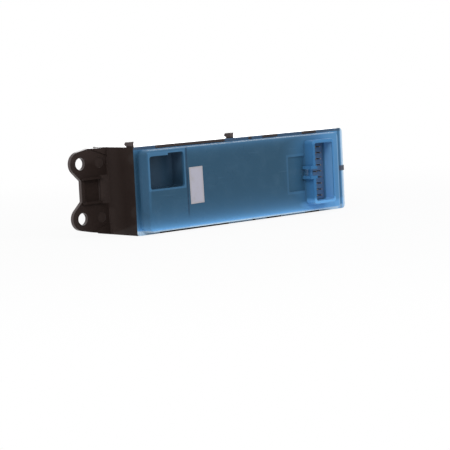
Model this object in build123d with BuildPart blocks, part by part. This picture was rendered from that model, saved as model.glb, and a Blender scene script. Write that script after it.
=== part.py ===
from build123d import *
import os

os.makedirs("parts", exist_ok=True)

# Driver's door power window switch, standing on one long edge.
# +X runs from the screw ears to the socket end, +Y from the back cover to the knobs and +Z across
# the case. The origin is under the middle of the whole part. Along the case, places are measured
# from the case's end wall beside the ears; depths run from the back of the cover's flange to the
# knobs, so what stands proud behind the flange has a negative depth.

# ---- case ----
CASE_LENGTH = 154.0
CASE_WIDTH = 46.0
CASE_DEPTH = 36.0
WALL = 2.0
DECK = 2.6
FRONT_ROUND = 2.4
END_OVERHANG = 1.8

# ---- screw ears ----
EAR_DEPTH = 23.2
EAR_THICKNESS = 2.4
EAR_REACH = 17.7
EAR_SPACING = 28.6
EAR_CENTRE = 24.1
EAR_RADIUS = 6.3
EAR_HOLE = 6.3
NECK_REACH = 17.6
NECK_WIDTH = 10.8
SHOULDER_REACH = 11.8
SHOULDER_WIDTH = 43.8
ROOT_WIDTH = 45.6
EAR_WEB_WIDTH = 4.6
EAR_WEB_RISE = 0.5
EAR_RIB = 1.3
EAR_RIB_RISE = 1.2
EAR_RIB_SPACING = 12.7
EAR_RIB_END = 3.6
EAR_RECESS_END = 5.4
EAR_RECESS_DEPTH = 1.3
DIMPLE_REACH = 5.4
DIMPLE_DIAMETER = 5.7
DIMPLE_DEPTH = 0.4

# ---- snap lugs and locating tongue ----
LUG_PLACES = (2.5, 72.8)
LUG_THICKNESS = 2.2
LUG_DEPTH = 4.8
LUG_LENGTH = 5.4
LUG_RISE = 2.6
LUG_UNDERCUT = 2.0
TONGUE_REACH = 4.0
TONGUE_WIDTH = 2.9
TONGUE_DEPTH = 1.6
TONGUE_THICKNESS = 2.6

# ---- back cover ----
FLANGE = 1.2
FLANGE_ROUND = 1.0
FLANGE_END_ROUND = 2.2
BOX_RISE = 8.0
BOX_INSET = 1.5
BOX_END_LEDGE = 11.2
BOX_ROUND = 2.8
BOX_DRAFT = 2.0
BOX_EDGE = 1.0
SKIN = 1.6
STEP_PLACE = 27.6
STEP_DROP = 0.5
LIP_DEPTH = 3.7
LIP = 1.2
LIP_CLEARANCE = 0.15
# the case's rim shows through notches in the flange: place and length of each
NOTCHES = ((14.2, 48.7), (80.7, 2.2), (91.2, 11.3), (121.7, 11.1))
NOTCH_CLEARANCE = 0.15

# ---- pocket beside the ears ----
POCKET_START = 3.0
POCKET_LENGTH = 23.2
POCKET_BOTTOM = 23.9
POCKET_HEIGHT = 18.2
POCKET_TAB_LENGTH = 12.6
POCKET_TAB_DROP = 1.1
POCKET_FLOOR = 1.5
POCKET_SKIN = 1.2
POCKET_ROUND = 1.5

# ---- label ----
LABEL_START = 30.0
LABEL_BOTTOM = 14.1
LABEL_LENGTH = 9.4
LABEL_HEIGHT = 19.3
LABEL_THICKNESS = 0.15
LABEL_TURN = 1.0

# ---- harness socket ----
SOCKET_CENTRE = 123.9
SOCKET_RAISE = 0.7
SOCKET_LENGTH = 13.7
SOCKET_HEIGHT = 32.2
SOCKET_WALL = 1.7
SOCKET_RIM = 14.4
SOCKET_ROUND = 2.0
SOCKET_EDGE = 0.5
LATCH_RIB = 1.7
LATCH_RIB_SPACING = 5.4
LATCH_RIB_PROUD = 2.2
LATCH_TIP = 1.2
LATCH_TIP_HEIGHT = 2.5
LATCH_WINDOW = 2.6
PANEL_START = 102.6
PANEL_BOTTOM = 13.7
PANEL_HEIGHT = 19.2
PANEL_DROP = 0.6

# ---- pins and their carrier ----
PIN = 0.64
PIN_ROWS = 2
PINS_IN_ROW = 9
PIN_ROW_SPACING = 3.4
PIN_PITCH = 3.4
PIN_TIP_DROP = 4.4
PIN_TAIL = 1.2
PIN_CLEARANCE = 0.06
INSERT_TOP = 6.9
INSERT_FOOT = 1.4
INSERT_CLEARANCE = 0.2

# ---- board ----
BOARD_DEPTH = 4.0
BOARD_THICKNESS = 1.6
BOARD_CLEARANCE = 0.6
PAD_THICKNESS = 0.3
PAD_LENGTH = 3.4
PAD_HEIGHT = 6.0
PAD_PITCH = 4.4

# ---- knobs: columns along the case, two rows across it ----
LOCK_COLUMN = 21.0
COLUMN_PITCH = 42.0
ROW_SPACING = 21.2
KNOB_WIDTH = 17.6
WINDOW_KNOB_LENGTH = 28.4
LOCK_KNOB_LENGTH = 19.0
KNOB_RISE = 5.5
KNOB_SADDLE = 1.5
KNOB_HEEL = 2.9
KNOB_LIP = 1.8
KNOB_SKIN = 1.6
KNOB_SIDE_GAP = 0.4
KNOB_END_GAP = 1.6
KNOB_SKIRT = 3.0
PIVOT_DEPTH = 29.0
AXLE = 4.0
AXLE_CLEARANCE = 0.05
AXLE_SEAT = 1.0
AXLE_END_GAP = 0.2
LEVER_END = 9.4
LEVER_TIP = 3.0
LEVER_NECK = 2.0
LEVER_ROOT = 6.0
LEVER_THICKNESS = 4.6
WELL_BOTTOM = 22.0
WELL_WALL = 1.6
WELL_ROUND = 1.0
SCOOP_RADIUS = 7.0
SCOOP_DROP = 1.4

# ---- window lock button ----
BUTTON_LENGTH = 18.0
BUTTON_RISE = 3.4
BUTTON_SKIRT_DEPTH = 27.0
BUTTON_ROUND = 1.6
BUTTON_FLOOR = 2.0
STEM = 5.0
STEM_CLEARANCE = 0.15
STEM_END = 9.0
COLLAR = 7.4
COLLAR_THICKNESS = 1.8
COLLAR_GAP = 0.2
BUTTON_CONTACT = 7.0
BUTTON_PAD = 9.0
STEM_HOLE = 10.0

# ---- sliders and their frame ----
SLIDER_LENGTH = 14.0
SLIDER_WIDTH = 14.4
SLIDER_BOTTOM = 6.4
SLIDER_TOP = 11.0
SLIDER_TRAVEL = 3.1
SLIDER_SIDE_GAP = 0.2
SLIDER_TOP_GAP = 0.3
NOTCH_GAP = 0.2
NOTCH_SIDE_GAP = 0.4
NOTCH_FLOOR = 7.6
FRAME_START = 6.0
FRAME_END = 118.0
FRAME_TOP = 13.6
FRAME_WALL = 1.6
FRAME_CLEARANCE = 0.5
LEVER_SLOT = 12.0
CONTACT_LENGTH = 11.0
CONTACT_WIDTH = 6.0
CONTACT_THICKNESS = 0.3
CONTACT_ARCH = 0.5
CONTACT_FOOT = 2.4

# ---- springs ----
SPRING_DIAMETER = 2.8
SPRING_LENGTH = 9.6
SPRING_WIRE = 0.45
SPRING_TURNS = 5
SPRING_OFFSET = 5.0
SPRING_GAP = 0.2
BUTTON_SPRING_DIAMETER = 7.6
BUTTON_SPRING_WIRE = 0.7
BUTTON_SPRING_TURNS = 4
BUTTON_SPRING_GAP = 0.1

# ---- screws and posts ----
SCREW_SPACING = 28.0
SCREW_SHANK = 2.9
SCREW_HEAD = 5.6
SCREW_HEAD_HEIGHT = 1.9
SCREW_LENGTH = 17.0
SCREW_CLEARANCE = 0.15
PILOT_CLEARANCE = 0.05
POST = 6.4
CROSS_SLOT = 3.2
CROSS_WIDTH = 0.8
CROSS_DEPTH = 0.9

# ---- lamps and light guides ----
LAMP_LENGTH = 3.2
LAMP_HEIGHT = 1.7
GUIDE = 2.6
GUIDE_CLEARANCE = 0.1
GUIDE_COLLAR = 4.8
GUIDE_COLLAR_THICKNESS = 1.4
GUIDE_LAMP_GAP = 0.3

# ---- parts on the back of the board ----
RELAY = (19.0, 15.5, 9.4)
RELAY_PLACE = (69.0, 28.0)
CHIP = (10.3, 7.5, 2.3)
CHIP_PLACE = (97.0, 12.0)
CHIP_LEADS = 8
CHIP_LEAD_PITCH = 1.27
CHIP_LEAD = 0.45
CHIP_LEAD_REACH = 1.4
CAPACITOR_DIAMETER = 6.3
CAPACITOR_HEIGHT = 7.7
CAPACITOR_PLACE = (50.0, 14.0)

# ---- worked out from the sizes above ----
CASE_END = CASE_LENGTH - END_OVERHANG
LEFT = (EAR_REACH + EAR_RADIUS - CASE_END - TONGUE_REACH) / 2
BACK = (SOCKET_RIM - CASE_DEPTH - KNOB_RISE) / 2
MIDDLE = CASE_WIDTH / 2
ROW_LOW = MIDDLE - ROW_SPACING / 2
ROW_HIGH = MIDDLE + ROW_SPACING / 2
FRONT_COLUMN = LOCK_COLUMN + COLUMN_PITCH
REAR_COLUMN = FRONT_COLUMN + COLUMN_PITCH
DECK_UNDER = CASE_DEPTH - DECK
PLATE = BOX_RISE - STEP_DROP
BOARD_FRONT = BOARD_DEPTH + BOARD_THICKNESS
CHANNEL_LENGTH = SLIDER_LENGTH + 2 * SLIDER_TRAVEL
CHANNEL_WIDTH = SLIDER_WIDTH + 2 * SLIDER_SIDE_GAP
CHANNEL_TOP = SLIDER_TOP + SLIDER_TOP_GAP
SPRING_DEPTH = (SLIDER_TOP + CHANNEL_TOP) / 2
WELL_WIDTH = KNOB_WIDTH + 2 * KNOB_SIDE_GAP
COVER_FRONT_DEPTH = FLANGE + BOX_RISE - SKIN
LEVER = PIVOT_DEPTH - LEVER_END
SOCKET_MIDDLE = MIDDLE + SOCKET_RAISE

# name, column, row and cap length of each rocker
ROCKERS = (
    ("door_lock", LOCK_COLUMN, ROW_HIGH, LOCK_KNOB_LENGTH),
    ("driver_window", FRONT_COLUMN, ROW_LOW, WINDOW_KNOB_LENGTH),
    ("passenger_window", FRONT_COLUMN, ROW_HIGH, WINDOW_KNOB_LENGTH),
    ("rear_left_window", REAR_COLUMN, ROW_LOW, WINDOW_KNOB_LENGTH),
    ("rear_right_window", REAR_COLUMN, ROW_HIGH, WINDOW_KNOB_LENGTH),
)
SCREW_COLUMNS = (LOCK_COLUMN + COLUMN_PITCH / 2, FRONT_COLUMN + COLUMN_PITCH / 2)
SCREWS = [(x, MIDDLE + side * SCREW_SPACING / 2) for x in SCREW_COLUMNS for side in (-1, 1)]
LAMPS = [(x, MIDDLE) for x in SCREW_COLUMNS]
PIN_PLACES = [
    (
        SOCKET_CENTRE + (row - (PIN_ROWS - 1) / 2) * PIN_ROW_SPACING,
        SOCKET_MIDDLE + (pin - (PINS_IN_ROW - 1) / 2) * PIN_PITCH,
    )
    for row in range(PIN_ROWS)
    for pin in range(PINS_IN_ROW)
]


def level(depth):
    """Plane across the case at a depth. Its x runs along the case, its y up, its normal backwards."""
    return Plane(origin=(LEFT, BACK + depth, 0), x_dir=(1, 0, 0), z_dir=(0, -1, 0))


def side_view(place, depth, height):
    """Plane seen from above the case. Its x runs along the case and its y from back to front."""
    return Plane(origin=(LEFT + place, BACK + depth, height), x_dir=(1, 0, 0), z_dir=(0, 0, 1))


def end_view(place, height):
    """Plane seen along the case. Its x runs from back to front and its y up."""
    return Plane(origin=(LEFT + place, BACK, height), x_dir=(0, 1, 0), z_dir=(1, 0, 0))


def box_between(start, end, low, high):
    """Rectangle between two places along the case and two heights, for the sketch in hand."""
    with Locations(((start + end) / 2, (low + high) / 2)):
        Rectangle(end - start, high - low)


def save(piece, label):
    piece.part.label = label
    export_step(piece.part, f"parts/{label}.step")


def coil(centre_x, centre_y, centre_z, direction, diameter, wire, length, turns):
    """Open coil spring around an axis, with its first end at the given point."""
    mean = diameter - wire
    with BuildPart() as spring:
        with BuildLine() as path:
            Helix(
                pitch=(length - wire) / turns,
                height=length - wire,
                radius=mean / 2,
                center=(centre_x, centre_y, centre_z),
                direction=direction,
            )
        with BuildSketch(Plane(origin=path.line @ 0, z_dir=path.line % 0)):
            RegularPolygon(wire / 2, 6)
        sweep()
    return spring


# ---------------------------------------------------------------- housing, one black moulding
with BuildPart() as housing:
    with BuildSketch(level(CASE_DEPTH)):
        box_between(0, CASE_END, 0, CASE_WIDTH)
    extrude(amount=CASE_DEPTH - FLANGE)
    fillet(housing.faces().sort_by(Axis.Y)[-1].edges(), FRONT_ROUND)
    with BuildSketch(level(DECK_UNDER)):
        box_between(WALL, CASE_END - WALL, WALL, CASE_WIDTH - WALL)
    extrude(amount=DECK_UNDER - FLANGE, mode=Mode.SUBTRACT)

    # rim lands that show through the notches of the cover's flange, on both long sides
    land = BOX_INSET - NOTCH_CLEARANCE
    with BuildSketch(level(FLANGE)):
        for start, length in NOTCHES:
            box_between(start, start + length, 0, land)
            box_between(start, start + length, CASE_WIDTH - land, CASE_WIDTH)
    extrude(amount=FLANGE)

    # well walls under the deck around each column of knobs
    with BuildSketch(level(CASE_DEPTH - DECK / 2)):
        for column, length in (
            (LOCK_COLUMN, LOCK_KNOB_LENGTH),
            (FRONT_COLUMN, WINDOW_KNOB_LENGTH),
            (REAR_COLUMN, WINDOW_KNOB_LENGTH),
        ):
            half = length / 2 + KNOB_END_GAP + WELL_WALL
            box_between(column - half, column + half, WALL / 2, CASE_WIDTH - WALL / 2)
    extrude(amount=CASE_DEPTH - DECK / 2 - WELL_BOTTOM)

    # openings for the rockers, right through deck and wells
    with BuildSketch(level(CASE_DEPTH)):
        for _, column, row, length in ROCKERS:
            with Locations((column, row)):
                RectangleRounded(length + 2 * KNOB_END_GAP, WELL_WIDTH, WELL_ROUND)
    extrude(amount=CASE_DEPTH - WELL_BOTTOM, mode=Mode.SUBTRACT)

    # the button's well keeps a floor that guides the stem
    with BuildSketch(level(CASE_DEPTH)):
        with Locations((LOCK_COLUMN, ROW_LOW)):
            RectangleRounded(BUTTON_LENGTH + 2 * KNOB_SIDE_GAP, WELL_WIDTH, BUTTON_ROUND)
    extrude(amount=CASE_DEPTH - WELL_BOTTOM - BUTTON_FLOOR, mode=Mode.SUBTRACT)
    with BuildSketch(level(WELL_BOTTOM + BUTTON_FLOOR)):
        with Locations((LOCK_COLUMN, ROW_LOW)):
            Circle(STEM / 2 + STEM_CLEARANCE)
    extrude(amount=BUTTON_FLOOR, mode=Mode.SUBTRACT)

    # blind bearing holes for the rockers' axles
    for _, column, row, _ in ROCKERS:
        with BuildSketch(side_view(column, PIVOT_DEPTH, row)):
            Circle(AXLE / 2 + AXLE_CLEARANCE)
        extrude(amount=WELL_WIDTH / 2 + AXLE_SEAT + AXLE_END_GAP, both=True, mode=Mode.SUBTRACT)

    # finger scoops in the deck at both ends of each window rocker
    for _, column, row, length in ROCKERS[1:]:
        for side in (-1, 1):
            end = column + side * (length / 2 + KNOB_END_GAP)
            with BuildSketch(side_view(end, CASE_DEPTH + SCOOP_RADIUS - SCOOP_DROP, row)):
                Circle(SCOOP_RADIUS)
            extrude(amount=WELL_WIDTH / 2, both=True, mode=Mode.SUBTRACT)

    # posts for the board screws
    with BuildSketch(level(CASE_DEPTH - DECK / 2)):
        with Locations(*SCREWS):
            Circle(POST / 2)
    extrude(amount=CASE_DEPTH - DECK / 2 - FRAME_TOP)
    with BuildSketch(level(BOARD_DEPTH + SCREW_LENGTH + 1)):
        with Locations(*SCREWS):
            Circle(SCREW_SHANK / 2 + PILOT_CLEARANCE)
    extrude(amount=BOARD_DEPTH + SCREW_LENGTH + 1 - FRAME_TOP, mode=Mode.SUBTRACT)

    # windows for the light guides
    with BuildSketch(level(CASE_DEPTH)):
        with Locations(*LAMPS):
            Circle(GUIDE / 2 + GUIDE_CLEARANCE)
    extrude(amount=DECK, mode=Mode.SUBTRACT)

    # ear flange: two round lobes on a waisted plate that stands out of the end wall
    for side in (-1, 1):
        with BuildSketch(level(EAR_DEPTH + EAR_THICKNESS)):
            with BuildLine():
                CenterArc((-EAR_REACH, EAR_CENTRE + side * EAR_SPACING / 2), EAR_RADIUS, 0, 360)
                Polyline(
                    (WALL / 2, EAR_CENTRE + side * NECK_WIDTH / 2),
                    (-NECK_REACH, EAR_CENTRE + side * NECK_WIDTH / 2),
                    (-SHOULDER_REACH, EAR_CENTRE + side * SHOULDER_WIDTH / 2),
                    (WALL / 2, MIDDLE + side * ROOT_WIDTH / 2),
                    close=True,
                )
            make_hull()
        extrude(amount=EAR_THICKNESS)
    with BuildSketch(level(EAR_DEPTH + EAR_THICKNESS)):
        box_between(-NECK_REACH, WALL / 2, EAR_CENTRE - NECK_WIDTH / 2, EAR_CENTRE + NECK_WIDTH / 2)
    extrude(amount=EAR_THICKNESS)
    with BuildSketch(level(EAR_DEPTH)):
        for side in (-1, 1):
            rib = EAR_CENTRE + side * EAR_RIB_SPACING / 2
            box_between(-NECK_REACH, -EAR_RIB_END, rib - EAR_RIB / 2, rib + EAR_RIB / 2)
    extrude(amount=EAR_RIB_RISE)
    # corner webs between the flange and the end wall
    for side in (-1, 1):
        with BuildSketch(level(EAR_DEPTH)):
            with BuildLine():
                Polyline(
                    (WALL / 2, MIDDLE + side * ROOT_WIDTH / 2),
                    (-SHOULDER_REACH, EAR_CENTRE + side * SHOULDER_WIDTH / 2),
                    (WALL / 2, EAR_CENTRE + side * (SHOULDER_WIDTH / 2 - EAR_WEB_WIDTH)),
                    close=True,
                )
            make_face()
        extrude(amount=EAR_WEB_RISE)
    inner = (EAR_RIB_SPACING - EAR_RIB) / 2
    with BuildSketch(level(EAR_DEPTH + EAR_RECESS_DEPTH)):
        box_between(-NECK_REACH + WALL, -EAR_RECESS_END, EAR_CENTRE - inner, EAR_CENTRE + inner)
    extrude(amount=EAR_RECESS_DEPTH, mode=Mode.SUBTRACT)
    with BuildSketch(level(EAR_DEPTH + DIMPLE_DEPTH)):
        with Locations(*[(-DIMPLE_REACH, EAR_CENTRE + s * EAR_SPACING / 2) for s in (-1, 1)]):
            Circle(DIMPLE_DIAMETER / 2)
    extrude(amount=DIMPLE_DEPTH, mode=Mode.SUBTRACT)
    with BuildSketch(level(EAR_DEPTH + EAR_THICKNESS)):
        with Locations(*[(-EAR_REACH, EAR_CENTRE + s * EAR_SPACING / 2) for s in (-1, 1)]):
            Circle(EAR_HOLE / 2)
    extrude(amount=EAR_THICKNESS, mode=Mode.SUBTRACT)

    # snap lugs on the upper long side: a square step at the back, a nose towards the front
    nose = LUG_DEPTH + LUG_LENGTH
    for place in LUG_PLACES:
        with BuildSketch(end_view(place, CASE_WIDTH)):
            with BuildLine():
                Polyline(
                    (LUG_DEPTH, -WALL / 2),
                    (LUG_DEPTH, LUG_RISE),
                    (nose - LUG_RISE / 2, LUG_RISE * 0.93),
                    (nose, LUG_RISE * 0.4),
                    (nose - LUG_UNDERCUT, 0),
                    (nose - LUG_UNDERCUT, -WALL / 2),
                    close=True,
                )
            make_face()
        extrude(amount=LUG_THICKNESS / 2, both=True)

    # locating tongue at the socket end
    with BuildSketch(level(TONGUE_DEPTH + TONGUE_THICKNESS)):
        box_between(
            CASE_END - WALL / 2,
            CASE_END + TONGUE_REACH,
            MIDDLE - TONGUE_WIDTH / 2,
            MIDDLE + TONGUE_WIDTH / 2,
        )
    extrude(amount=TONGUE_THICKNESS)
save(housing, "housing")

# ---------------------------------------------------------------- back cover, one blue moulding
BOX_END = CASE_LENGTH - BOX_END_LEDGE
SOCKET_OUTER = SOCKET_LENGTH + 2 * SOCKET_WALL
SOCKET_OUTER_HEIGHT = SOCKET_HEIGHT + 2 * SOCKET_WALL
SOCKET_SIDE = SOCKET_CENTRE - SOCKET_OUTER / 2
SOCKET_INNER_SIDE = SOCKET_SIDE + SOCKET_WALL
LATCH_RIBS = [SOCKET_MIDDLE + side * LATCH_RIB_SPACING / 2 for side in (-1, 1)]
POCKET_END = POCKET_START + POCKET_LENGTH
POCKET_TOP = POCKET_BOTTOM + POCKET_HEIGHT

with BuildPart() as back_cover:
    with BuildSketch(level(FLANGE)) as flange_outline:
        box_between(0, CASE_LENGTH, 0, CASE_WIDTH)
        fillet(flange_outline.vertices().group_by(Axis.X)[0], FLANGE_ROUND)
        fillet(flange_outline.vertices().group_by(Axis.X)[-1], FLANGE_END_ROUND)
    extrude(amount=FLANGE)

    # raised box with drafted sides and a rounded back edge
    with BuildSketch(level(0)):
        with Locations(((BOX_INSET + BOX_END) / 2, MIDDLE)):
            RectangleRounded(BOX_END - BOX_INSET, CASE_WIDTH - 2 * BOX_INSET, BOX_ROUND)
    extrude(amount=BOX_RISE, taper=BOX_DRAFT)
    fillet(back_cover.faces().sort_by(Axis.Y)[0].edges(), BOX_EDGE)
    # the end beside the ears stands one step higher than the rest of the plate
    with BuildSketch(level(-PLATE)):
        box_between(STEP_PLACE, BOX_END + 1, 0, CASE_WIDTH)
    extrude(amount=STEP_DROP + 1, mode=Mode.SUBTRACT)

    # hollow inside
    with BuildSketch(level(FLANGE)):
        with Locations(((BOX_INSET + BOX_END) / 2, MIDDLE)):
            RectangleRounded(
                BOX_END - BOX_INSET - 2 * SKIN,
                CASE_WIDTH - 2 * (BOX_INSET + SKIN),
                BOX_ROUND - SKIN,
            )
    extrude(amount=FLANGE + PLATE - SKIN, taper=BOX_DRAFT, mode=Mode.SUBTRACT)

    # lip that plugs into the case
    outer = WALL + LIP_CLEARANCE
    with BuildSketch(level(LIP_DEPTH)):
        box_between(outer, CASE_END - outer, outer, CASE_WIDTH - outer)
        with Locations((CASE_END / 2, MIDDLE)):
            Rectangle(
                CASE_END - 2 * (outer + LIP), CASE_WIDTH - 2 * (outer + LIP), mode=Mode.SUBTRACT
            )
    extrude(amount=LIP_DEPTH - FLANGE)

    # notches where the case's rim shows
    gap = NOTCH_CLEARANCE
    with BuildSketch(level(FLANGE)):
        for start, length in NOTCHES:
            box_between(start - gap, start + length + gap, -1, BOX_INSET)
            box_between(start - gap, start + length + gap, CASE_WIDTH - BOX_INSET, CASE_WIDTH + 1)
    extrude(amount=FLANGE, mode=Mode.SUBTRACT)

    # pocket: its own walls and floor inside, then the opening with its stepped upper edge
    with BuildSketch(level(POCKET_FLOOR + POCKET_SKIN)):
        box_between(
            POCKET_START - POCKET_SKIN / 2,
            POCKET_END + POCKET_SKIN,
            POCKET_BOTTOM - POCKET_SKIN,
            POCKET_TOP + POCKET_SKIN,
        )
    extrude(amount=POCKET_FLOOR + POCKET_SKIN + PLATE - SKIN / 2)
    with BuildSketch(level(POCKET_FLOOR)) as pocket_outline:
        box_between(POCKET_START, POCKET_END, POCKET_BOTTOM, POCKET_TOP - POCKET_TAB_DROP)
        box_between(POCKET_START + POCKET_TAB_LENGTH, POCKET_END, POCKET_BOTTOM, POCKET_TOP)
        fillet(pocket_outline.vertices().group_by(Axis.X)[0], POCKET_ROUND)
        fillet(pocket_outline.vertices().group_by(Axis.X)[-1], POCKET_ROUND)
    extrude(amount=BOX_RISE + POCKET_FLOOR, mode=Mode.SUBTRACT)

    # shallow panel beside the socket
    with BuildSketch(level(-PLATE + PANEL_DROP)):
        box_between(PANEL_START, SOCKET_SIDE, PANEL_BOTTOM, PANEL_BOTTOM + PANEL_HEIGHT)
    extrude(amount=PANEL_DROP, mode=Mode.SUBTRACT)

    # socket shroud with latch ribs on its side towards the ears
    with BuildSketch(level(-PLATE + SKIN / 2)):
        with Locations((SOCKET_CENTRE, SOCKET_MIDDLE)):
            RectangleRounded(SOCKET_OUTER, SOCKET_OUTER_HEIGHT, SOCKET_ROUND)
    extrude(amount=SOCKET_RIM - PLATE + SKIN / 2)
    fillet(back_cover.faces().sort_by(Axis.Y)[0].edges(), SOCKET_EDGE)
    with BuildSketch(level(-PLATE + PANEL_DROP)):
        for rib in LATCH_RIBS:
            start = SOCKET_SIDE - LATCH_RIB_PROUD
            end = SOCKET_SIDE + SOCKET_WALL / 2
            box_between(start, end, rib - LATCH_RIB / 2, rib + LATCH_RIB / 2)
    extrude(amount=SOCKET_RIM - PLATE + PANEL_DROP)
    with BuildSketch(level(SKIN - PLATE)):
        with Locations((SOCKET_CENTRE, SOCKET_MIDDLE)):
            RectangleRounded(SOCKET_LENGTH, SOCKET_HEIGHT, SOCKET_ROUND / 2)
    extrude(amount=SOCKET_RIM - PLATE + SKIN, mode=Mode.SUBTRACT)
    # between the ribs the rim is notched, with a window for the plug's latch at the wall's foot
    slot = (LATCH_RIB_SPACING - LATCH_RIB) / 2
    for depth, height in ((-SOCKET_RIM + LATCH_TIP_HEIGHT, LATCH_TIP_HEIGHT), (-PLATE, LATCH_WINDOW)):
        with BuildSketch(level(depth)):
            box_between(SOCKET_SIDE, SOCKET_INNER_SIDE, SOCKET_MIDDLE - slot, SOCKET_MIDDLE + slot)
        extrude(amount=height, mode=Mode.SUBTRACT)
    # the ribs' tips reach into the socket at the rim
    with BuildSketch(level(-SOCKET_RIM + LATCH_TIP_HEIGHT)):
        for rib in LATCH_RIBS:
            start = SOCKET_SIDE + SOCKET_WALL / 2
            end = SOCKET_INNER_SIDE + LATCH_TIP
            box_between(start, end, rib - LATCH_RIB / 2, rib + LATCH_RIB / 2)
    extrude(amount=LATCH_TIP_HEIGHT)
save(back_cover, "back_cover")

# ---------------------------------------------------------------- label on the plate
with BuildPart() as label:
    with BuildSketch(level(-PLATE)):
        with Locations((LABEL_START + LABEL_LENGTH / 2, LABEL_BOTTOM + LABEL_HEIGHT / 2)):
            Rectangle(LABEL_LENGTH, LABEL_HEIGHT, rotation=LABEL_TURN)
    extrude(amount=LABEL_THICKNESS)
save(label, "label")

# ---------------------------------------------------------------- pin carrier at the socket's floor
with BuildPart() as connector_insert:
    foot_back = -PLATE + SKIN + INSERT_CLEARANCE
    with BuildSketch(level(BOARD_DEPTH)):
        with Locations((SOCKET_CENTRE, SOCKET_MIDDLE)):
            Rectangle(SOCKET_LENGTH + 2 * INSERT_FOOT, SOCKET_HEIGHT + 2 * INSERT_FOOT)
        # the foot stays inside the cover's hollow
        with Locations((CASE_LENGTH / 2, MIDDLE)):
            Rectangle(CASE_LENGTH, CASE_WIDTH - 2 * (BOX_INSET + SKIN + FRAME_CLEARANCE), mode=Mode.INTERSECT)
    extrude(amount=BOARD_DEPTH - foot_back)
    with BuildSketch(level(foot_back)):
        with Locations((SOCKET_CENTRE, SOCKET_MIDDLE)):
            RectangleRounded(
                SOCKET_LENGTH - 2 * INSERT_CLEARANCE,
                SOCKET_HEIGHT - 2 * INSERT_CLEARANCE,
                SOCKET_ROUND / 2,
            )
    extrude(amount=INSERT_TOP + foot_back)
    with BuildSketch(level(BOARD_DEPTH)):
        with Locations(*PIN_PLACES):
            Rectangle(PIN + 2 * PIN_CLEARANCE, PIN + 2 * PIN_CLEARANCE)
    extrude(amount=BOARD_DEPTH + INSERT_TOP, mode=Mode.SUBTRACT)
save(connector_insert, "connector_insert")

# ---------------------------------------------------------------- pins through board and carrier
with BuildPart() as terminals:
    with BuildSketch(level(BOARD_FRONT + PIN_TAIL)):
        with Locations(*PIN_PLACES):
            Rectangle(PIN, PIN)
    extrude(amount=BOARD_FRONT + PIN_TAIL + SOCKET_RIM - PIN_TIP_DROP)
    chamfer(terminals.faces().filter_by(Axis.Y).group_by(Axis.Y)[0].edges(), PIN / 4)
save(terminals, "terminals")

# ---------------------------------------------------------------- circuit board
with BuildPart() as circuit_board:
    edge = WALL + BOARD_CLEARANCE
    with BuildSketch(level(BOARD_FRONT)):
        box_between(edge, CASE_END - edge, edge, CASE_WIDTH - edge)
        with Locations(*SCREWS):
            Circle(SCREW_SHANK / 2 + SCREW_CLEARANCE, mode=Mode.SUBTRACT)
        with Locations(*PIN_PLACES):
            Rectangle(PIN + 2 * PIN_CLEARANCE, PIN + 2 * PIN_CLEARANCE, mode=Mode.SUBTRACT)
    extrude(amount=BOARD_THICKNESS)
save(circuit_board, "circuit_board")

# ---------------------------------------------------------------- contact strips on the board
with BuildPart() as fixed_contacts:
    with BuildSketch(level(BOARD_FRONT + PAD_THICKNESS)):
        for _, column, row, _ in ROCKERS:
            with Locations(*[(column + i * PAD_PITCH, row) for i in (-1, 0, 1)]):
                Rectangle(PAD_LENGTH, PAD_HEIGHT)
        with Locations((LOCK_COLUMN, ROW_LOW)):
            Circle(BUTTON_PAD / 2)
            Rectangle(PAD_PITCH - PAD_LENGTH, BUTTON_PAD, mode=Mode.SUBTRACT)
    extrude(amount=PAD_THICKNESS)
save(fixed_contacts, "fixed_contacts")

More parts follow.
